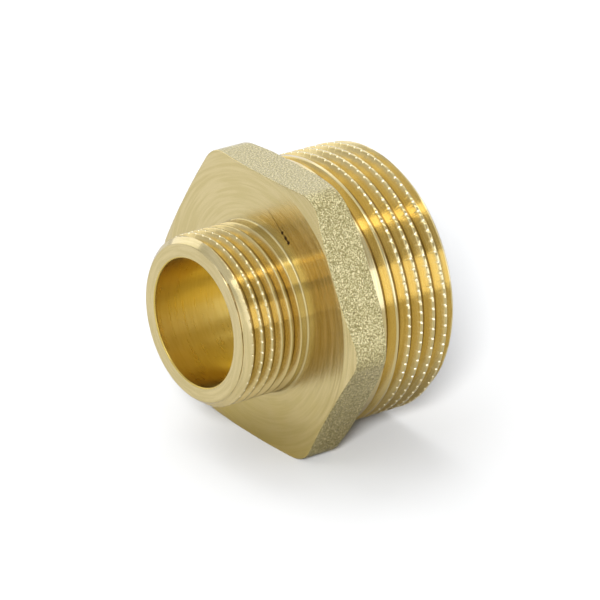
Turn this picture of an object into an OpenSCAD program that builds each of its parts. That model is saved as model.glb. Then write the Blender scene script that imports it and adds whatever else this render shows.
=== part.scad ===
// Brass reducing hex nipple: a G 3/4 and a G 1 1/4 outside thread either side of a forged hexagon,
// with a stepped waterway right through. It lies on one flat of its hexagon, small end towards -X.
// The pieces are drawn along +Z from the small end's face, and laid down along +X at the end.

/* [Small end, G 3/4] */
// Major diameter of the small thread
small_d = 26.441; // [26.2:0.001:26.6]
// Pitch of the small thread, 14 turns to the inch
small_pitch = 1.814; // [1.7:0.001:1.9]
// From the small end's face to the front of the hexagon
small_len = 11.4; // [10.5:0.1:14]
// Size of the 45 degree chamfer at the small end's face
small_chamfer = 1.12; // [0.8:0.02:1.6]
// Plain neck from where the small thread's groove has run out to the hexagon
small_neck = 1.05; // [0.9:0.05:2.5]
// Place of the small thread's groove on the underside, measured from the small end's face
small_groove_at = 0.76; // [0.1:0.01:1.7]

/* [Large end, G 1 1/4] */
// Major diameter of the large thread
large_d = 41.91; // [41.6:0.001:42.1]
// Pitch of the large thread, 11 turns to the inch
large_pitch = 2.309; // [2.2:0.001:2.4]
// From the back of the hexagon to the large end's face
large_len = 15.3; // [14:0.1:18]
// Size of the 45 degree chamfer at the large end's face
large_chamfer = 1.16; // [0.8:0.02:1.8]
// Plain neck from where the large thread's groove has run out to the hexagon
large_neck = 1.5; // [1.2:0.1:2.5]
// Place of the large thread's groove on the underside, measured from the large end's face
large_groove_at = 0.54; // [0.1:0.01:2.2]

/* [Thread form] */
// Included angle between the flanks
thread_angle = 55; // [50:1:60]
// Depth of the groove, in pitches
thread_depth = 0.64; // [0.6:0.01:0.65]
// Part of a turn over which the groove becomes shallow before it runs out
runout = 0.33; // [0.25:0.01:0.5]
// Steps in one turn of the groove
steps_per_turn = 48; // [32:4:60]

/* [Hexagon] */
// Width across the flats, and so the height of the part as it lies
hex_af = 43; // [42.6:0.1:46]
// Length along the axis
hex_len = 6.9; // [6:0.1:9]
// Radius of the six long corners, as forged
hex_corner_r = 4.8; // [2:0.1:6]
// Diameter of the turned face in front of the hexagon, inside the corner chamfer
hex_front_d = 43.3; // [42:0.1:44.5]
// Slope of the front corner chamfer, from the turned face
hex_front_slope = 12; // [5:1:30]
// Diameter of the turned face behind the hexagon, inside the corner chamfer
hex_back_d = 44.5; // [43.5:0.1:46]
// Slope of the back corner chamfer, from the turned face
hex_back_slope = 25; // [10:1:35]
// Fillet between each neck and the hexagon
neck_fillet = 0.3; // [0.1:0.05:0.5]

/* [Waterway] */
// Diameter of the bore through the small end
small_bore_d = 19.8; // [18:0.1:21]
// From the front of the hexagon to where the small bore opens into the cone
cone_at = 4.2; // [2:0.1:6]
// Diameter of the bore in the large end
large_bore_d = 34; // [30:0.1:35]
// Angle between the axis and the cone that joins the two bores
cone_angle = 60; // [45:1:75]
// Broken edge at the mouth of each bore
mouth_edge = 0.2; // [0.1:0.05:0.5]

/* [Hidden] */
$fn = 128;
brass = [0.79, 0.66, 0.33];
corners = 6;
corner_turn = 360 / corners;
hex_back = small_len + hex_len;
total_len = hex_back + large_len;
small_bore_len = small_len + cone_at;
// How far the waterway's cutter stands out of the two end faces
past = 0.4;
// How far a groove's cutter stands out of the crests, in pitches: too little to reach its next turn
groove_past = 0.1;
// Part of the groove's depth that is left where it ends, so that its cutter stays a closed solid
trace = 0.01;
// How far a spigot's blank reaches into the hexagon
joined = 1;
// Degrees between the points of a fillet
fillet_step = 15;

// A turned spigot with its face at z = 0 and the hexagon at z = len: chamfered mouth, filleted neck.
module blank(d, len, chamfer) {
    r = d / 2;
    fillet = [for (a = [0:fillet_step:90]) [r + neck_fillet * (1 - cos(a)), len - neck_fillet * (1 - sin(a))]];
    rotate_extrude()
        polygon(concat([[0, 0], [r - chamfer, 0], [r, chamfer]], fillet,
            [[r + neck_fillet, len + joined], [0, len + joined]]));
}

// Section of the thread groove in a plane through the axis, as [distance from the axis, place along it].
// share is the part of its full depth that the groove has there.
function groove_section(r, pitch, share) =
    let (slope = tan(thread_angle / 2),
         full_depth = thread_depth * pitch,
         out = groove_past * pitch,
         depth = full_depth * share - out * (1 - share),
         half_root = (pitch / 2 - full_depth * slope) / 2,
         half_top = half_root + (depth + out) * slope)
    [[r + out, -half_top], [r - depth, -half_root], [r - depth, half_root], [r + out, half_top]];

// The groove of a right-hand thread, as a cutter. It comes in from beyond the face at z = 0, is at z = at
// where its angle is 0, and has run out at z = last.
module groove(d, pitch, at, last) {
    first_turn = -(pitch + at) / pitch;
    last_turn = (last - at) / pitch;
    steps = ceil((last_turn - first_turn) * steps_per_turn);
    sections = [for (i = [0:steps])
        let (turn = first_turn + (last_turn - first_turn) * i / steps,
             share = max(trace, min(1, (last_turn - turn) / runout)))
        [for (p = groove_section(d / 2, pitch, share))
            [p[0] * cos(360 * turn), p[0] * sin(360 * turn), at + pitch * turn + p[1]]]];
    sides = [for (i = [0:steps - 1], k = [0:3])
        let (a = 4 * i + k, b = 4 * i + (k + 1) % 4)
        each [[a, a + 4, b + 4], [a, b + 4, b]]];
    n = 4 * steps;
    ends = [[0, 1, 2], [0, 2, 3], [n, n + 2, n + 1], [n, n + 3, n + 2]];
    polyhedron([for (s = sections, p = s) p], concat(sides, ends));
}

module spigot(d, pitch, len, chamfer, neck, groove_at)
    difference() {
        blank(d, len, chamfer);
        groove(d, pitch, groove_at, len - neck);
    }

module small_spigot()
    color(brass) spigot(small_d, small_pitch, small_len, small_chamfer, small_neck, small_groove_at);

module large_spigot()
    color(brass) translate([0, 0, total_len]) rotate([180, 0, 0])
        spigot(large_d, large_pitch, large_len, large_chamfer, large_neck, large_groove_at);

// The six flats as forged, each tangent to the round corners beside it.
module hex_prism() {
    apothem = hex_af / 2;
    corner_at = (apothem - hex_corner_r) / cos(corner_turn / 2);
    half_flat = (apothem - hex_corner_r) * tan(corner_turn / 2);
    linear_extrude(hex_len)
        polygon([for (i = [0:corners - 1], side = [-half_flat, half_flat])
            [apothem * cos(corner_turn * i) - side * sin(corner_turn * i),
             apothem * sin(corner_turn * i) + side * cos(corner_turn * i)]]);
    for (i = [0:corners - 1])
        rotate(corner_turn * (i + 0.5)) translate([corner_at, 0, 0]) cylinder(h = hex_len, r = hex_corner_r);
}

// The turned faces either side of the hexagon, and the cones that take its corners off.
module hex_turning() {
    front_r = hex_front_d / 2;
    back_r = hex_back_d / 2;
    outer_r = hex_af / 2 / cos(corner_turn / 2);
    rotate_extrude()
        polygon([
            [0, 0], [front_r, 0], [outer_r, (outer_r - front_r) * tan(hex_front_slope)],
            [outer_r, hex_len - (outer_r - back_r) * tan(hex_back_slope)], [back_r, hex_len], [0, hex_len]
        ]);
}

module hexagon() color(brass) translate([0, 0, small_len]) intersection() { hex_prism(); hex_turning(); }

// The hollow through all of it: small bore, cone, large bore, and a broken edge at each mouth.
module waterway() {
    small_r = small_bore_d / 2;
    large_r = large_bore_d / 2;
    cone_len = (large_r - small_r) / tan(cone_angle);
    mouth = mouth_edge + past;
    rotate_extrude()
        polygon([
            [0, -past], [small_r + mouth, -past], [small_r, mouth_edge],
            [small_r, small_bore_len], [large_r, small_bore_len + cone_len],
            [large_r, total_len - mouth_edge], [large_r + mouth, total_len + past], [0, total_len + past]
        ]);
}

module reducing_nipple()
    color(brass) translate([-total_len / 2, 0, hex_af / 2]) rotate([0, 90, 0])
        difference() {
            union() { small_spigot(); hexagon(); large_spigot(); }
            waterway();
        }

reducing_nipple();
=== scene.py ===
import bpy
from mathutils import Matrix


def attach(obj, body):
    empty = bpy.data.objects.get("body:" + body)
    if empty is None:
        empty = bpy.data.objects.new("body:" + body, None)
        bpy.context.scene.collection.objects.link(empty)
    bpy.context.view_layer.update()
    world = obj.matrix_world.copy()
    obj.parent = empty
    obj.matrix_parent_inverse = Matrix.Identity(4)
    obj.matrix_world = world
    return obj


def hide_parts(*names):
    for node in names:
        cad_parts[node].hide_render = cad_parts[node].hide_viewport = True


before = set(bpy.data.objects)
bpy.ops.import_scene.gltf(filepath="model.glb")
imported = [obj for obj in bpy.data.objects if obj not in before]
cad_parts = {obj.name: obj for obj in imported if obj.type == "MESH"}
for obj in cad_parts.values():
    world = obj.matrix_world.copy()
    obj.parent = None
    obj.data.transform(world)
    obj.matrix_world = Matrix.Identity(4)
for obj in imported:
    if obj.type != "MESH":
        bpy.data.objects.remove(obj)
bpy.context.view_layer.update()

import math
from collections import Counter, namedtuple
from dataclasses import dataclass

import bpy
import numpy as np
from mathutils import Matrix, Vector

# Sizes of the part are in millimetres, as the CAD has them. s runs along the waterway from the small end's
# face, and r is the distance from its middle. An angle of 0 degrees is the underside, 90 the far side, 180
# the top and 270 the near side. Sizes of the studio are in metres.
MM = 0.001

# Lengths along the waterway
SMALL_LENGTH = 11.4
HEX_LENGTH = 6.9
LARGE_LENGTH = 15.3
HEX_FRONT = SMALL_LENGTH
HEX_BACK = HEX_FRONT + HEX_LENGTH
LENGTH = HEX_BACK + LARGE_LENGTH

# Thread form: the flanks' slope, the groove's depth in pitches, the part of a turn over which it runs out,
# and how far its cutter stands out of the crests, in pitches
THREAD_ANGLE = 55
FLANK = math.tan(math.radians(THREAD_ANGLE / 2))
GROOVE_DEPTH = 0.64
RUNOUT = 0.33
GROOVE_PAST = 0.1

# Fillet between each neck and the hexagon
FILLET = 0.3

# Hexagon: width across the flats, forged corners, and the turned faces inside the corner chamfers
HEX_AF = 43.0
HEX_CORNER_R = 4.8
HEX_FRONT_R = 21.65
HEX_FRONT_SLOPE = 12
HEX_BACK_R = 22.25
HEX_BACK_SLOPE = 25
CORNER_TURN = 60
HALF_CORNER_TURN = CORNER_TURN / 2

# Waterway: two bores, the cone between them, which begins CONE_AT behind the hexagon's front, and the broken
# edge at each mouth
SMALL_BORE_R = 9.9
LARGE_BORE_R = 17.0
CONE_AT = 4.2
CONE_ANGLE = 60
SMALL_BORE_END = HEX_FRONT + CONE_AT
CONE_SLOPE = math.tan(math.radians(CONE_ANGLE))
LARGE_BORE_START = SMALL_BORE_END + (LARGE_BORE_R - SMALL_BORE_R) / CONE_SLOPE
MOUTH = 0.2

# The finishes, in the order of the material slots. The groove roots are painted dark as shade, the flanks and
# the bore a deeper gold as bounced light and shade, and the dents pale as glints.
TURNED, FLANK_REFLECTION, ROOT_SHADE, CREST, PRESSED_GLINT, HEX_FACE, BLASTED, BORE_SHADE = range(8)

# How deep the middle of a rounded edge lies under its sharp corner, on either side, in the size of the edge
ROUND_MIDDLE = 1 - math.sqrt(0.5)


# Surface

# A row of a column: its key, its order in the column, its point, how deep a dent is pressed in there, and
# how deep the groove is there, in full depths
Row = namedtuple("Row", "key order point dent cut", defaults=(0.0, 0.0))


def smooth_min(a, b, k):
    """The lesser of the two, rounded off where they differ by less than k."""
    h = max(k - abs(a - b), 0.0)
    return min(a, b) - h * h / (4 * k)


def smooth_max(a, b, k):
    return -smooth_min(-a, -b, k)


class Skin:
    """A closed surface, built up of columns and rings of points round the waterway."""

    def __init__(self):
        self.points, self.faces, self.kinds = [], [], []

    def point(self, s, r, theta):
        a = math.radians(theta)
        self.points.append((s, r * math.sin(a), -r * math.cos(a)))
        return len(self.points) - 1

    def face(self, ids, kind):
        self.faces.append(ids)
        self.kinds.append(kind)

    def join_columns(self, a, b, kind):
        """Faces between two neighbouring columns of rows. Rows with the same key face each other."""
        i = j = 0
        while i + 1 < len(a) or j + 1 < len(b):
            next_a = a[i + 1] if i + 1 < len(a) else None
            next_b = b[j + 1] if j + 1 < len(b) else None
            below = a[i].point, b[j].point
            if next_a and next_b and next_a.key == next_b.key:
                self.face((*below, next_b.point, next_a.point), kind(a[i], next_a, b[j], next_b))
                i, j = i + 1, j + 1
            elif next_b is None or (next_a and next_a.order < next_b.order):
                self.face((*below, next_a.point), kind(a[i], next_a, b[j]))
                i += 1
            else:
                self.face((*below, next_b.point), kind(b[j], next_b, a[i]))
                j += 1

    def join_rings(self, a, b, kind):
        """Faces from ring a to ring b, each a list of (angle, point) by rising angle within one turn."""
        a = a + [(a[0][0] + 360, a[0][1])]
        b = b + [(b[0][0] + 360, b[0][1])]
        i = j = 0
        while i + 1 < len(a) or j + 1 < len(b):
            if j + 1 >= len(b) or (i + 1 < len(a) and a[i + 1][0] < b[j + 1][0]):
                self.face((a[i][1], a[i + 1][1], b[j][1]), kind)
                i += 1
            else:
                self.face((a[i][1], b[j + 1][1], b[j][1]), kind)
                j += 1


def end_rings(columns):
    """The rings of the columns' first and last points. columns is a list of (angle, rows)."""
    return [[(theta, rows[end].point) for theta, rows in columns] for end in (0, -1)]


# Threads

# How far the surface is rounded where a crest, a root or a dent has its edge
EDGE_ROUND = 0.05
ROOT_ROUND = 0.16
DENT_ROUND = 0.04
FILLET_ANGLES = (15, 30, 45, 60, 75, 90)

# Columns across one dent and the gap after it: the place, in spacings of the dents, and the share of the
# dent's depth there
DENT_COLUMNS = ((-0.12, 0.0), (-0.06, 0.8), (0.0, 1.0), (0.06, 0.8), (0.12, 0.0), (0.5, 0.0))
# The length over which the dents fade out, and their least depth and its spread in their usual depth
DENT_FADE = 0.3
DENT_LEAST = 0.75
DENT_SPREAD = 0.5
# Factors that turn a dent's number and turn into an uneven share
UNEVEN = (12.9898, 78.233, 43758.5453)

# Turns of the groove that are looked at, more than either thread has, and the least depth that counts
TURNS = range(-3, 10)
LEAST_DEPTH = 0.004

# Rings of a threaded end: beside its face, over the chamfer, about the chamfer's end, and before the hexagon
FACE_RINGS = (0.02, 0.06)
CHAMFER_RINGS_FROM = 0.12
CHAMFER_RING_STEP = 0.1
CHAMFER_END_RINGS = (-0.02, 0.02, 0.08)
NECK_RINGS = (0.85, 0.6, FILLET)
# The end face stops this far inside its edge, and the first ring is at most so much wider
LIP_INSIDE = 0.06
LIP_STEP = 0.05

# Marks, the rows of points that follow the groove: beyond the corner of its root, and beside the crest's
# edge. They are numbered from the groove's middle, and the crest's middle has the last number.
ROOT_MARKS = (0.03, 0.12)
TOP_MARKS = (-0.10, -0.02, 0.05)
LAST_ROOT_MARK = 2
FIRST_CREST_MARK = 6
CREST_MIDDLE = 8
# Marks lie between these distances from the face and the fillet, and this far from each ring
MARKS_FROM = 0.09
MARKS_BEFORE_FILLET = 0.02
MARK_TO_RING = 0.03

# A face is pressed if a dent goes deeper than this
PRESSED_FROM = 0.02
# How far from each end the turned finish of the end face goes on over the chamfer
END_BAND = 1.5
# Where the groove meets the end face: how deep it is there, in full depths, and how far its dark edge, a
# painted shade, goes
CUT = 0.12
CUT_EDGE = 0.33


@dataclass
class Spigot:
    """A threaded end. z is the distance from its face, towards the hexagon."""
    r: float  # over the crests
    pitch: float
    length: float
    chamfer: float  # at the face, at 45 degrees
    groove_at: float  # where the groove crosses the underside
    neck: float  # plain length between the groove and the hexagon
    face: float  # where on s its face is
    way: int  # 1 where z runs with s, and -1 where it runs against it
    dents: int  # in one turn
    dent: float  # how deep one is
    dent_phase: float  # where the first one is, in degrees
    dented_to: float  # the first crest past this has none

    @property
    def full_depth(self):
        return GROOVE_DEPTH * self.pitch

    @property
    def half_root(self):
        return (self.pitch / 2 - self.full_depth * FLANK) / 2

    def blank_radius(self, z):
        return min(self.r, self.r - self.chamfer + z)


SMALL_END = Spigot(r=26.441 / 2, pitch=1.814, length=SMALL_LENGTH, chamfer=1.12, groove_at=0.76, neck=1.05,
                   face=0.0, way=1, dents=48, dent=0.15, dent_phase=1.5, dented_to=6.45)
LARGE_END = Spigot(r=41.91 / 2, pitch=2.309, length=LARGE_LENGTH, chamfer=1.16, groove_at=0.54, neck=1.5,
                   face=LENGTH, way=-1, dents=80, dent=0.20, dent_phase=0.6, dented_to=10.35)


def dent_depth(end, number, weight, z, theta):
    """How far the crest beside z is pressed in at a column. Dents fade out at the crest past dented_to."""
    turned = end.way * theta / 360
    turn = math.floor((z - end.groove_at) / end.pitch - turned)
    crest = end.groove_at + end.pitch * (turn + turned + 0.5)
    share = min(1.0, (end.dented_to - crest) / DENT_FADE)
    if weight == 0 or share <= 0:
        return 0.0
    uneven = math.sin(UNEVEN[0] * number + UNEVEN[1] * turn) * UNEVEN[2]
    return end.dent * weight * share * (DENT_LEAST + DENT_SPREAD * (uneven - math.floor(uneven)))


def grooves(end, theta):
    """The groove's turns at that angle, as (number, place, depth)."""
    found = []
    for number in TURNS:
        z = end.groove_at + end.pitch * (number + end.way * theta / 360)
        share = min(1.0, (end.length - end.neck - z) / (end.pitch * RUNOUT))
        depth = end.full_depth * share - GROOVE_PAST * end.pitch * (1 - share)
        if z > -end.pitch and depth > LEAST_DEPTH:
            found.append((number, z, depth))
    return found


def thread_radius(end, z, turns, dent):
    """The surface's distance from the axis at z, with the groove's turns cut in and a dent pressed in."""
    r = smooth_min(end.r, end.r - end.chamfer + z, EDGE_ROUND)
    for _, middle, depth in turns:
        u = abs(z - middle)
        if u < end.pitch:
            root = end.r - depth
            cut = smooth_max(root, root + (u - end.half_root) / FLANK, ROOT_ROUND)
            r = smooth_min(r, cut, EDGE_ROUND)
    if dent > 0:
        r = smooth_min(r, end.r - dent, DENT_ROUND)
    return r


def is_mark(row):
    """A mark's key is (number of the turn, number of the mark). Those of other rows begin with a word."""
    return isinstance(row.key[0], int)


def thread_kind(low, high, *others):
    """The finish of a face between two rows: deep in the groove, painted dark as its shade; on its flanks,
    painted a deeper gold as light bounced in the groove; in a dent, painted pale as a glint; or just turned.
    """
    if not (is_mark(low) and is_mark(high)):
        if min(low.cut, high.cut) > CUT and max(abs(low.order), abs(high.order)) < CUT_EDGE:
            return ROOT_SHADE
        return TURNED if abs(low.order) < END_BAND else CREST
    mark = min(abs(low.key[1]), abs(high.key[1]))
    if mark >= FIRST_CREST_MARK:
        pressed = any(row.dent > PRESSED_FROM for row in (low, high, *others))
        return PRESSED_GLINT if pressed else CREST
    return ROOT_SHADE if mark <= LAST_ROOT_MARK and low.key[0] == high.key[0] else FLANK_REFLECTION


def thread_rings(end):
    """Places of the rings that a threaded end has all round."""
    rings = list(FACE_RINGS)
    chamfer_rings = int(end.chamfer / CHAMFER_RING_STEP)
    rings += [CHAMFER_RINGS_FROM + CHAMFER_RING_STEP * i for i in range(chamfer_rings)]
    rings += [end.chamfer + past for past in CHAMFER_END_RINGS]
    rings += [end.length - before for before in NECK_RINGS]
    return rings


def column_places(end, turns, rings):
    """(key, z) of a column's rows between the end face and the fillet, by rising z."""
    places = [(("ring", i), z) for i, z in enumerate(rings)]
    for number, middle, depth in turns:
        half_top = end.half_root + depth * FLANK
        marks = [end.half_root / 2] + [end.half_root + beyond for beyond in ROOT_MARKS]
        marks += [(end.half_root + half_top) / 2] + [half_top + beside for beside in TOP_MARKS]
        for i, u in enumerate(marks, 1):
            places += [((number, -i), middle - u), ((number, i), middle + u)]
        places.append(((number, CREST_MIDDLE), middle + end.pitch / 2))
    marks_to = end.length - FILLET - MARKS_BEFORE_FILLET
    kept = []
    for key, z in sorted(places, key=lambda place: place[1]):
        clear = MARKS_FROM < z < marks_to and all(abs(z - ring) > MARK_TO_RING for ring in rings)
        if key[0] == "ring" or clear:
            kept.append((key, z))
    return kept


def thread_column(skin, end, theta, number, weight):
    """A column of rows from the end face over the thread to the foot of the fillet."""
    def row(key, z, r, dent=0.0, cut=0.0):
        return Row(key, z, skin.point(end.face + end.way * z, r, theta), dent, cut)

    turns = grooves(end, theta)
    lip = thread_radius(end, 0.0, turns, 0) - LIP_INSIDE
    rows = [row(("lip", 0), 0.0, lip)]
    for key, z in column_places(end, turns, thread_rings(end)):
        dent = dent_depth(end, number, weight, z, theta)
        r = thread_radius(end, z, turns, dent)
        if key == ("ring", 0):
            r = min(r, lip + LIP_STEP)
        rows.append(row(key, z, r, dent, (end.blank_radius(z) - r) / end.full_depth))
    for angle in FILLET_ANGLES:
        a = math.radians(angle)
        z = end.length - FILLET * (1 - math.sin(a))
        rows.append(row(("fillet", angle), z, end.r + FILLET * (1 - math.cos(a))))
    return rows


def along(end, rows):
    """The rows in the order in which they follow each other along s."""
    return rows if end.way > 0 else [row._replace(order=-row.order) for row in reversed(rows)]


def spigot(skin, end):
    """A threaded end, as columns from its face to the hexagon. Returns the rings at its two ends."""
    places = sorted(((end.dent_phase + 360 * (dent + across) / end.dents) % 360, dent, weight)
                    for dent in range(end.dents) for across, weight in DENT_COLUMNS)
    columns = [(theta, thread_column(skin, end, theta, dent, weight)) for theta, dent, weight in places]
    neighbours = [rows for _, rows in columns[1:]]
    # The last column has the first one beside it, where the groove's turns are counted one further.
    neighbours.append([row._replace(key=(row.key[0] - end.way, row.key[1])) if is_mark(row) else row
                       for row in columns[0][1]])
    for (_, rows), beside in zip(columns, neighbours):
        skin.join_columns(along(end, rows), along(end, beside), thread_kind)
    return end_rings(columns)


# Hexagon

# Columns of the hexagon, and the size of its rounded edges
HEX_COLUMNS = 480
HEX_EDGE = 0.12
# Rings of its front face, and the one of its back face, from just outside the fillet
HEX_FRONT_RINGS = (13.9, 15.5, 17.5, 19.3, 20.8)
HEX_BACK_RING = 21.3
# Half the width of the bend before a corner chamfer, and the room a chamfer needs for the bend and a middle
BEND_HALF = 0.04
BEND_ROOM = 0.05
CHAMFER_ROOM = 0.4
# Bands of faces across the side, between its rounded edges
SIDE_BANDS = 5
# The parts of a hexagon's column, in order, and the finish of the faces up to them
HEX_PARTS = {"front": HEX_FACE, "front_bend": HEX_FACE, "front_chamfer": HEX_FACE, "front_edge": HEX_FACE,
             "side": BLASTED,
             "back_edge": BLASTED, "back_chamfer": TURNED, "back_bend": TURNED, "back": TURNED}
# The last faces of a rounded edge have the finish of what comes after it
LAST_EDGE_ROWS = {("front_edge", 3): BLASTED, ("back_edge", 3): TURNED}
# More rows than a part of a column has
ROWS_IN_PART = 10


def hex_radius(theta):
    """Distance from the axis to the hexagon's side, rounded corners included."""
    apothem = HEX_AF / 2
    half_turn = math.radians(HALF_CORNER_TURN)
    from_flat = abs((theta + HALF_CORNER_TURN) % CORNER_TURN - HALF_CORNER_TURN)
    tangent = math.degrees(math.atan((apothem - HEX_CORNER_R) * math.tan(half_turn) / apothem))
    if from_flat <= tangent:
        return apothem / math.cos(math.radians(from_flat))
    centre = (apothem - HEX_CORNER_R) / math.cos(half_turn)
    from_corner = math.radians(HALF_CORNER_TURN - from_flat)
    across = centre * math.sin(from_corner)
    return centre * math.cos(from_corner) + math.sqrt(HEX_CORNER_R ** 2 - across ** 2)


def front_at(r):
    return HEX_FRONT + max(0.0, r - HEX_FRONT_R) * math.tan(math.radians(HEX_FRONT_SLOPE))


def back_at(r):
    return HEX_BACK - max(0.0, r - HEX_BACK_R) * math.tan(math.radians(HEX_BACK_SLOPE))


def corner_rows(face, face_r, face_at, way, side_r):
    """(part, s, r) from a face over its corner chamfer, where that has room, and its rounded edge."""
    rows = []
    edge_r = side_r - HEX_EDGE
    if edge_r > face_r + BEND_ROOM:
        rows += [(face + "_bend", face_at(r), r) for r in (face_r - BEND_HALF, face_r + BEND_HALF)]
    if edge_r > face_r + CHAMFER_ROOM:
        middle = (face_r + edge_r) / 2
        rows.append((face + "_chamfer", face_at(middle), middle))
    rows.append((face + "_edge", face_at(edge_r), edge_r))
    for deep, inside in ((ROUND_MIDDLE, ROUND_MIDDLE), (1, 0)):
        rows.append((face + "_edge", face_at(side_r) + way * HEX_EDGE * deep, side_r - HEX_EDGE * inside))
    return rows


def hex_places(theta):
    """(part, s, r) of a column's rows, from the front face over the side to the back face."""
    side_r = hex_radius(theta)
    front = [("front", HEX_FRONT, r) for r in HEX_FRONT_RINGS]
    front += corner_rows("front", HEX_FRONT_R, front_at, 1, side_r)
    back = [("back", HEX_BACK, HEX_BACK_RING)] + corner_rows("back", HEX_BACK_R, back_at, -1, side_r)
    first, last = front[-1][1], back[-1][1]
    side = [("side", first + (last - first) * k / SIDE_BANDS, side_r) for k in range(1, SIDE_BANDS)]
    return front + side + back[::-1]


def hex_kind(low, high, *others):
    """The finish of a face from the row low up to the row high."""
    return LAST_EDGE_ROWS.get(high.key, HEX_PARTS[high.key[0]])


def hexagon(skin):
    """The hexagon, as columns from its front face over its side to its back face. Returns its inner rings."""
    order = {part: ROWS_IN_PART * i for i, part in enumerate(HEX_PARTS)}
    columns = []
    for i in range(HEX_COLUMNS):
        theta = 360 * i / HEX_COLUMNS
        rows, count = [], Counter()
        for part, s, r in hex_places(theta):
            count[part] += 1
            rows.append(Row((part, count[part]), order[part] + count[part], skin.point(s, r, theta)))
        columns.append((theta, rows))
    for (_, rows), (_, beside) in zip(columns, columns[1:] + columns[:1]):
        skin.join_columns(rows, beside, hex_kind)
    return end_rings(columns)


# Waterway

# Rings of the waterway, from the large end: in the bores, on the cone, and as (s, r) from the bores' edges
BORE_COLUMNS = 192
LARGE_BORE_RINGS = (31.5, 29.0, 26.5, 24.0, 21.5)
LARGE_EDGE_RINGS = ((0.1, 0.0), (-0.06, -0.10))
CONE_RINGS = (18.3, 16.9)
SMALL_EDGE_RINGS = ((0.06, 0.06), (-0.1, 0.0))
SMALL_BORE_RINGS = (13.0, 10.5, 8.0, 5.5, 3.0, 1.2, 0.5)


def waterway(skin):
    """The hollow, as rings from the large end's face to the small end's. Returns its first and last ring."""
    mouth = ((0.0, MOUTH), (MOUTH * ROUND_MIDDLE, MOUTH * ROUND_MIDDLE), (MOUTH, 0.0))
    rows = [(LENGTH - deep, LARGE_BORE_R + wider) for deep, wider in mouth]
    rows += [(s, LARGE_BORE_R) for s in LARGE_BORE_RINGS]
    rows += [(LARGE_BORE_START + s, LARGE_BORE_R + r) for s, r in LARGE_EDGE_RINGS]
    rows += [(s, SMALL_BORE_R + (s - SMALL_BORE_END) * CONE_SLOPE) for s in CONE_RINGS]
    rows += [(SMALL_BORE_END + s, SMALL_BORE_R + r) for s, r in SMALL_EDGE_RINGS]
    rows += [(s, SMALL_BORE_R) for s in SMALL_BORE_RINGS]
    rows += [(deep, SMALL_BORE_R + wider) for deep, wider in reversed(mouth)]
    angles = [360 * i / BORE_COLUMNS for i in range(BORE_COLUMNS)]
    rings = [[(theta, skin.point(s, r, theta)) for theta in angles] for s, r in rows]
    for a, b in zip(rings, rings[1:]):
        for i in range(BORE_COLUMNS):
            k = (i + 1) % BORE_COLUMNS
            skin.face((a[i][1], a[k][1], b[k][1], b[i][1]), BORE_SHADE)
    return rings[0], rings[-1]


# The whole surface

# Half the size of the mesh's texture space, in metres
TEXTURE_SPACE = 0.05


def build_skin():
    """The two threaded ends, the hexagon and the waterway, joined by flat rings."""
    skin = Skin()
    small_lip, small_foot = spigot(skin, SMALL_END)
    large_lip, large_foot = spigot(skin, LARGE_END)
    hex_front, hex_back = hexagon(skin)
    large_mouth, small_mouth = waterway(skin)
    skin.join_rings(small_mouth, small_lip, TURNED)
    skin.join_rings(small_foot, hex_front, TURNED)
    skin.join_rings(hex_back, large_foot, TURNED)
    skin.join_rings(large_lip, large_mouth, TURNED)
    return skin


def skin_mesh(skin, name):
    """The skin as a mesh in the row frame. Its normals keep broad faces flat beside their narrow edges."""
    points = (np.array(skin.points) + (-LENGTH / 2, 0, HEX_AF / 2)) * MM
    mesh = bpy.data.meshes.new(name)
    mesh.from_pydata([tuple(point) for point in points], [], skin.faces)
    mesh.polygons.foreach_set("material_index", skin.kinds)
    mesh.shade_smooth()
    normals = np.zeros_like(points)
    for corners in (3, 4):
        faces = np.array([face for face in skin.faces if len(face) == corners])
        at = points[faces]
        # Twice the face's area, along its normal. In a triangle, the corner past the last is the first.
        by_area = np.cross(at[:, 2] - at[:, 0], at[:, 3 % corners] - at[:, 1])
        for k in range(corners):
            np.add.at(normals, faces[:, k], by_area)
    normals /= np.linalg.norm(normals, axis=1, keepdims=True)
    mesh.normals_split_custom_set_from_vertices([tuple(normal) for normal in normals])
    # The turned finishes' tangents run round the middle of this space, which is the waterway's.
    mesh.use_auto_texspace = False
    mesh.texspace_location = (0, 0, HEX_AF / 2 * MM)
    mesh.texspace_size = (TEXTURE_SPACE, TEXTURE_SPACE, TEXTURE_SPACE)
    return mesh


# Materials

# How fine each mark is, in waves to the metre
FINE_MARKS = 9000
BROAD_MARKS = 2200
COARSE_MARKS = 1800
CLOUDS = 160
BLOTCHES = 350
GRAIN = 4000
LUMPS = 900
# How far the ring marks drift along with the angle, in metres to the radian
DRIFT = 0.001
NOISE_MIDDLE = 0.5
# Turned brass: the noise at which it is dark and at which it has its base colour, the shares of the clouds
# and the broad marks in its tone and of the fine and the broad marks in its height, and how its roughness
# varies
DARK_AT = 0.42
BASE_AT = 0.58
TONE_SHARES = (0.2, 0.8)
HEIGHT_SHARES = (0.6, 0.4)
ROUGHNESS_RANGE = 0.12
# Blasted brass: the shares of the grain and the lumps in its height
BLASTED_SHARES = (0.8, 0.3)
# A quarter turn, which stretches the gloss across the marks
ACROSS_MARKS = 0.25

# The coarse streaks on the near side of the hexagon's front face, in a darker gold that paints in the shade
# mirrored
# there from the small end: where they begin and where they are full, across the part, the noise that makes
# none and full ones, and how much they cover
MIRRORED_SHADE_FROM = -10
MIRRORED_SHADE_FULL = -19
STREAKS_NOISE = (0.47, 0.58)
MIRRORED_SHADE_COVER = 0.6
# The darker gold low down on that face, which grows towards the bottom: how high it reaches, how uneven that
# is, and how much it covers
LOW_GOLD_TO = 15
LOW_GOLD_UNEVEN = 12
LOW_GOLD_COVER = 0.55
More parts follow.
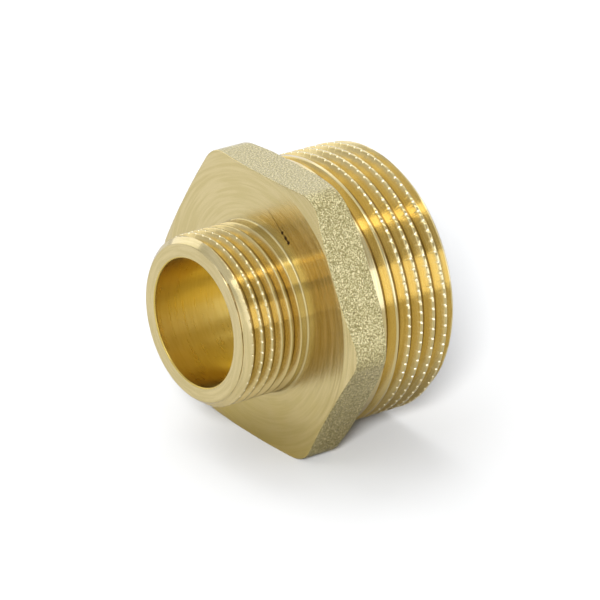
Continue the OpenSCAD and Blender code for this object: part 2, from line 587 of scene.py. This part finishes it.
# The scratch on that face: its ends as (across, up), and its half width along it, in SCRATCH_UNIT
SCRATCH_START = (-2.4, 38.1)
SCRATCH_END = (-7.9, 34.4)
SCRATCH_UNIT = 0.5
SCRATCH_WIDTHS = ((0.0, 0.0), (0.02, 0.07), (0.635, 0.12), (0.655, 0.6), (0.69, 0.6), (0.71, 0.1),
                  (0.78, 0.2), (0.80, 0.58), (0.85, 0.58), (0.87, 0.28), (0.92, 0.3), (0.94, 0.72),
                  (0.985, 0.68), (1.0, 0.0))
# Colours: of the streaks, which paint in mirrored shade; of the darker gold low down; and of the scratch
MIRRORED_SHADE_STREAKS = (0.52, 0.41, 0.15)
LOW_GOLD = (0.66, 0.52, 0.13)
SCRATCH = (0.06, 0.03, 0.015)

# Colours by the strength of the grain
# The dents' tones are paler than the brass: a painted glint.
PRESSED_GLINT_TONES = ((0.35, (0.84, 0.71, 0.36)), (0.6, (1.0, 0.92, 0.54)))
BLASTED_TONES = ((0.38, (0.22, 0.175, 0.055)), (0.50, (0.44, 0.365, 0.125)), (0.62, (0.90, 0.80, 0.40)))


def set_stops(ramp, stops):
    """Puts stops of (place, colour) on a new colour ramp, by rising place."""
    for element, (place, colour) in zip(ramp.elements, (stops[0], stops[-1])):
        element.position = place
        element.color = (*colour, 1)
    for place, colour in stops[1:-1]:
        ramp.elements.new(place).color = (*colour, 1)


class Nodes:
    """A material and short ways to add nodes to it."""

    def __init__(self, name):
        self.material = bpy.data.materials.new(name)
        self.material.use_nodes = True
        self.tree = self.material.node_tree
        self.tree.nodes.clear()
        self.out = self.tree.nodes.new("ShaderNodeOutputMaterial")

    def add(self, kind, inputs=None, **settings):
        node = self.tree.nodes.new("ShaderNode" + kind)
        for key, value in settings.items():
            setattr(node, key, value)
        for key, value in (inputs or {}).items():
            if isinstance(value, bpy.types.NodeSocket):
                self.tree.links.new(value, node.inputs[key])
            else:
                node.inputs[key].default_value = value
        return node

    def place(self):
        """The object's own coordinates."""
        return self.add("TexCoord").outputs["Object"]

    def split(self, vector):
        return tuple(self.add("SeparateXYZ", {0: vector}).outputs)

    def math(self, operation, a, b=0.0):
        return self.add("Math", {0: a, 1: b}, operation=operation).outputs[0]

    def plus(self, a, b):
        return self.math("ADD", a, b)

    def minus(self, a, b):
        return self.math("SUBTRACT", a, b)

    def times(self, a, b):
        return self.math("MULTIPLY", a, b)

    def weigh(self, values, shares):
        """The sum of two values, each times its share."""
        return self.plus(*(self.times(value, share) for value, share in zip(values, shares)))

    def between(self, value, low, high):
        """0 where the value is low and beyond, 1 where it is high and beyond."""
        return self.add("MapRange", {"Value": value, "From Min": low, "From Max": high}).outputs[0]

    def ramp(self, factor, stops):
        node = self.add("ValToRGB", {"Fac": factor})
        set_stops(node.color_ramp, stops)
        return node.outputs["Color"]

    def cover(self, factor, colour, other):
        """The colour, covered by another as far as the factor says."""
        mixed = self.add("Mix", {"Factor": factor}, data_type="RGBA")
        self.tree.links.new(colour, mixed.inputs[6])
        mixed.inputs[7].default_value = (*other, 1)
        return mixed.outputs[2]

    def noise(self, vector, scale, detail=3.0, roughness=0.5):
        inputs = {"Vector": vector, "Scale": scale, "Detail": detail, "Roughness": roughness}
        return self.add("TexNoise", inputs).outputs["Fac"]

    def bump(self, heights, distance):
        return self.add("Bump", {"Strength": 1.0, "Distance": distance, "Height": heights}).outputs[0]

    def finish(self, inputs):
        """Puts the shader on the output and returns the material."""
        shader = self.add("BsdfPrincipled", inputs)
        self.tree.links.new(shader.outputs[0], self.out.inputs["Surface"])
        return self.material


def ring_coordinates(n, place):
    """(along the waterway, distance from it, a little for the angle round it), so that noise makes rings."""
    x, y, z = n.split(place)
    z = n.minus(z, HEX_AF / 2 * MM)
    r = n.math("SQRT", n.plus(n.times(y, y), n.times(z, z)))
    drift = n.times(n.math("ARCTAN2", y, z), DRIFT)
    return n.add("CombineXYZ", {0: x, 1: r, 2: drift}).outputs[0]


def near_streaks_and_mirrored_shade(n, rings, place):
    """How much the coarser turning marks on the near side of the hexagon's front face cover. Their darker
    gold there is a painted reflection of the small end's shaded side.
    """
    near = n.between(n.split(place)[1], MIRRORED_SHADE_FROM * MM, MIRRORED_SHADE_FULL * MM)
    marks = n.between(n.noise(rings, COARSE_MARKS), *STREAKS_NOISE)
    return n.times(n.times(near, marks), MIRRORED_SHADE_COVER)


def low_gold_blotches(n, place):
    """How much the blotchy darker gold low down on the hexagon's front face covers; it grows towards the
    bottom.
    """
    uneven = n.times(n.minus(n.noise(place, BLOTCHES), NOISE_MIDDLE), LOW_GOLD_UNEVEN * MM)
    low_down = n.between(n.plus(n.split(place)[2], uneven), LOW_GOLD_TO * MM, 0.0)
    return n.times(low_down, LOW_GOLD_COVER)


def scratch_mask(n, place):
    """1 in the dark scratch on the hexagon's front face: a hairline that ends in three small pits."""
    _, y, z = n.split(place)
    run_y, run_z = (end - start for start, end in zip(SCRATCH_START, SCRATCH_END))
    length = math.hypot(run_y, run_z)
    y = n.minus(n.times(y, 1 / MM), SCRATCH_START[0])
    z = n.minus(n.times(z, 1 / MM), SCRATCH_START[1])
    along_it = n.plus(n.times(y, run_y / length), n.times(z, run_z / length))
    across_it = n.math("ABSOLUTE", n.minus(n.times(y, run_z / length), n.times(z, run_y / length)))
    widths = [(part, (width, width, width)) for part, width in SCRATCH_WIDTHS]
    half_width = n.times(n.ramp(n.math("DIVIDE", along_it, length), widths), SCRATCH_UNIT)
    return n.math("LESS_THAN", across_it, half_width)


def turned_brass(name, base, dark, roughness, anisotropy, marks, scratched_and_shaded=False):
    """Brass with turning marks round the waterway, between a base and a dark colour."""
    n = Nodes(name)
    place = n.place()
    rings = ring_coordinates(n, place)
    fine = n.noise(rings, FINE_MARKS, detail=2.0)
    broad = n.noise(rings, BROAD_MARKS)
    colour = n.ramp(n.weigh((n.noise(place, CLOUDS), broad), TONE_SHARES), ((DARK_AT, dark), (BASE_AT, base)))
    if scratched_and_shaded:
        # Painted reflection of shade, in the coarse streaks on the near side
        colour = n.cover(near_streaks_and_mirrored_shade(n, rings, place), colour, MIRRORED_SHADE_STREAKS)
        colour = n.cover(low_gold_blotches(n, place), colour, LOW_GOLD)
        colour = n.cover(scratch_mask(n, place), colour, SCRATCH)
    uneven = n.times(n.minus(broad, NOISE_MIDDLE), ROUGHNESS_RANGE)
    return n.finish({
        "Base Color": colour, "Metallic": 1.0, "Roughness": n.plus(uneven, roughness),
        "Anisotropic": anisotropy, "Anisotropic Rotation": ACROSS_MARKS,
        "Tangent": n.add("Tangent", direction_type="RADIAL", axis="X").outputs[0],
        "Normal": n.bump(n.weigh((fine, broad), HEIGHT_SHARES), marks)})


def pressed_brass_and_glint(name, roughness, marks):
    """The metal pressed smooth in the dents, painted paler than the brass as a glint."""
    n = Nodes(name)
    grain = n.noise(n.place(), GRAIN, detail=2.0)
    return n.finish({"Base Color": n.ramp(grain, PRESSED_GLINT_TONES), "Metallic": 1.0, "Roughness": roughness,
                     "Normal": n.bump(grain, marks)})


def blasted_brass(name, roughness, marks):
    """The hexagon's forged and blasted flats: fine bright and dark grains on low lumps."""
    n = Nodes(name)
    place = n.place()
    grain = n.noise(place, GRAIN, roughness=0.8)
    lumps = n.noise(place, LUMPS, detail=2.0)
    return n.finish({"Base Color": n.ramp(grain, BLASTED_TONES), "Metallic": 1.0, "Roughness": roughness,
                     "Normal": n.bump(n.weigh((grain, lumps), BLASTED_SHARES), marks)})


def floor_material(name, colour):
    return Nodes(name).finish({"Base Color": (*colour, 1), "Roughness": 0.8, "Specular IOR Level": 0.2})


def finishes():
    """The nipple's materials, in the order of their slots. marks is how deep the marks are, in metres."""
    return (
        turned_brass("turned_brass", base=(0.74, 0.61, 0.28), dark=(0.66, 0.54, 0.23),
                     roughness=0.20, anisotropy=1.0, marks=0.000004),
        # The flanks are painted a deeper gold than the turned brass: a painted reflection of light bounced in
        # the groove.
        turned_brass("thread_flanks_painted_reflection", base=(0.73, 0.58, 0.235), dark=(0.665, 0.515, 0.19),
                     roughness=0.17, anisotropy=1.0, marks=0.000005),
        # The roots are painted dark, as the shade deep in the groove.
        turned_brass("thread_roots_painted_shade", base=(0.36, 0.24, 0.07), dark=(0.26, 0.17, 0.04),
                     roughness=0.20, anisotropy=0.8, marks=0.000002),
        turned_brass("thread_crests", base=(0.62, 0.51, 0.22), dark=(0.56, 0.45, 0.18),
                     roughness=0.20, anisotropy=1.0, marks=0.000004),
        pressed_brass_and_glint("pressed_brass_and_glint", roughness=0.18, marks=0.00004),
        turned_brass("hexagon_face", base=(0.74, 0.61, 0.28), dark=(0.66, 0.54, 0.225),
                     roughness=0.19, anisotropy=1.0, marks=0.000014, scratched_and_shaded=True),
        blasted_brass("blasted_brass", roughness=0.28, marks=0.00022),
        # The bore is painted a darker, deeper gold than the turned brass, as the shade and bounced light in
        # the hollow.
        turned_brass("bored_brass_painted_shade", base=(0.68, 0.51, 0.115), dark=(0.645, 0.475, 0.10),
                     roughness=0.29, anisotropy=0.5, marks=0.000002))


# Studio

# Half the width of a floor, and how far the mirrored one lies above the seen one
FLOOR_HALF = 1.5
FLOOR_GAP = 0.00005
SEEN_FLOOR = (0.40, 0.39, 0.32)
MIRRORED_FLOOR = (0.80, 0.80, 0.80)

# Colours of the light
LIGHT = (0.79, 0.815, 1.0)
COLD_LIGHT = (0.71, 0.78, 1.25)
SUNLIGHT = (1.0, 0.97, 0.90)
# How bright the studio is by the height of the view into it, from -1 straight down to 1 straight up
WORLD_BY_HEIGHT = ((-0.05, 1.0), (0.1, 0.8), (0.84, 0.85), (0.92, 1.6))
# The softboxes face this point
AIM = (0, 0, 0.03)
# Softboxes for the brass: name, middle, width and height, radiance, colour
SOFTBOXES = (
    ("low_right", (0.35, -0.35, 0.125), (0.7, 0.25), 2.1, COLD_LIGHT),
    ("low_left", (-0.34, -0.35, 0.125), (0.68, 0.25), 0.78, LIGHT),
    ("high_right", (0, -0.285, 0.80), (2.2, 0.14), 2.8, LIGHT),
    ("high_left", (-0.55, -0.56, 0.74), (0.9, 0.34), 1.45, LIGHT),
    ("behind", (0.15, 0.85, 0.40), (1.6, 0.75), 1.0, LIGHT),
    ("above_behind", (0.565, 0.497, 0.68), (1.0, 0.5), 1.0, LIGHT),
)
# Suns for the floors: name, the floor that it lights, irradiance, the way to it, its width in radians, colour
SUNS = (
    ("from_left", "mirrored", 0.7, (-0.66, 0.13, 0.55), 1.3, SUNLIGHT),
    ("from_behind", "mirrored", 0.75, (0.07, 0.575, 0.82), 1.3, SUNLIGHT),
    ("beside_camera", "seen", 9.0, (-0.613, -0.624, 0.503), 0.25, LIGHT),
    ("above", "seen", 2.5, (0.0, 0.50, 0.90), 0.8, LIGHT),
    ("beside_left", "seen", 1.4, (-0.62, 0.05, 0.75), 0.7, LIGHT),
)

# The camera's directions and place, its film's width in millimetres, and its focal length in pixels of the
# image
RIGHT = (0.7928, -0.6086, 0.0328)
UP = (0.2293, 0.3476, 0.9092)
BACK = (-0.5647, -0.7133, 0.4151)
EYE = (-0.3385, -0.4316, 0.2714)
FILM_WIDTH = 36
FOCAL_PIXELS = 4000
IMAGE_WIDTH = 600


def link(thing):
    bpy.context.scene.collection.objects.link(thing)


def make_nipple():
    mesh = skin_mesh(build_skin(), "brass_nipple")
    for material in finishes():
        mesh.materials.append(material)
    nipple = bpy.data.objects.new("brass_nipple", mesh)
    link(nipple)
    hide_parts("reducing_nipple")
    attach(nipple, "root")
    return nipple


def make_floor(name, colour, seen):
    """One of two floors: the camera sees the lower one, and the brass mirrors the other, just above it."""
    z = 0.0 if seen else FLOOR_GAP
    corners = [(x * FLOOR_HALF, y * FLOOR_HALF, z) for x, y in ((-1, -1), (1, -1), (1, 1), (-1, 1))]
    mesh = bpy.data.meshes.new(name)
    mesh.from_pydata(corners, [], [(0, 1, 2, 3)])
    mesh.materials.append(floor_material(name, colour))
    floor = bpy.data.objects.new(name, mesh)
    link(floor)
    floor.visible_camera = seen
    floor.visible_diffuse = seen
    floor.visible_glossy = not seen
    floor.visible_shadow = False
    return floor


def new_lamp(light, colour, energy, lit):
    """An object for the light, which reaches nothing but the object lit."""
    light.color = colour
    light.energy = energy
    lamp = bpy.data.objects.new(light.name, light)
    receivers = bpy.data.collections.new(light.name + "_lit")
    receivers.objects.link(lit)
    lamp.light_linking.receiver_collection = receivers
    link(lamp)
    return lamp


def make_softbox(name, middle, size, radiance, colour, lit):
    """A softbox that faces the part, its long side along the waterway."""
    light = bpy.data.lights.new(name, "AREA")
    light.shape = "RECTANGLE"
    light.size, light.size_y = size
    lamp = new_lamp(light, colour, radiance * math.pi * size[0] * size[1], lit)
    lamp.visible_camera = False
    back = (Vector(middle) - Vector(AIM)).normalized()
    side = (Vector((1, 0, 0)) - back * back.x).normalized()
    up = back.cross(side)
    lamp.matrix_world = Matrix.Translation(middle) @ Matrix((side, up, back)).transposed().to_4x4()


def make_sun(name, irradiance, heading, width, colour, lit):
    """A wide sun, for a floor's light and its soft shadows."""
    light = bpy.data.lights.new(name, "SUN")
    light.angle = width
    lamp = new_lamp(light, colour, irradiance, lit)
    lamp.rotation_euler = Vector(heading).to_track_quat("Z", "Y").to_euler()


def make_world():
    """The studio round the part: a little brighter below the horizon than its walls, and brightest above."""
    world = bpy.data.worlds.new("studio")
    world.use_nodes = True
    tree = world.node_tree
    heading = tree.nodes.new("ShaderNodeTexCoord")
    split = tree.nodes.new("ShaderNodeSeparateXYZ")
    height = tree.nodes.new("ShaderNodeMapRange")
    height.inputs["From Min"].default_value = -1.0
    ramp = tree.nodes.new("ShaderNodeValToRGB")
    set_stops(ramp.color_ramp, [((z + 1) / 2, [channel * radiance for channel in LIGHT])
                                for z, radiance in WORLD_BY_HEIGHT])
    tree.links.new(heading.outputs["Generated"], split.inputs[0])
    tree.links.new(split.outputs[2], height.inputs["Value"])
    tree.links.new(height.outputs["Result"], ramp.inputs["Fac"])
    tree.links.new(ramp.outputs["Color"], tree.nodes["Background"].inputs["Color"])
    bpy.context.scene.world = world


def make_lights(nipple, floors):
    make_world()
    bpy.context.scene.view_settings.view_transform = "Standard"
    for name, middle, size, radiance, colour in SOFTBOXES:
        make_softbox(name, middle, size, radiance, colour, nipple)
    for name, floor, irradiance, heading, width, colour in SUNS:
        make_sun(name, irradiance, heading, width, colour, floors[floor])


def make_camera():
    camera = bpy.data.cameras.new("camera")
    camera.sensor_width = FILM_WIDTH
    camera.lens = FILM_WIDTH * FOCAL_PIXELS / IMAGE_WIDTH
    camera.clip_start = 0.05
    camera.clip_end = 20
    eye = bpy.data.objects.new("camera", camera)
    eye.matrix_world = Matrix.Translation(EYE) @ Matrix((RIGHT, UP, BACK)).transposed().to_4x4()
    link(eye)
    bpy.context.scene.camera = eye


make_camera()
nipple = make_nipple()
floors = {"seen": make_floor("floor", SEEN_FLOOR, seen=True),
          "mirrored": make_floor("mirrored_floor", MIRRORED_FLOOR, seen=False)}
make_lights(nipple, floors)
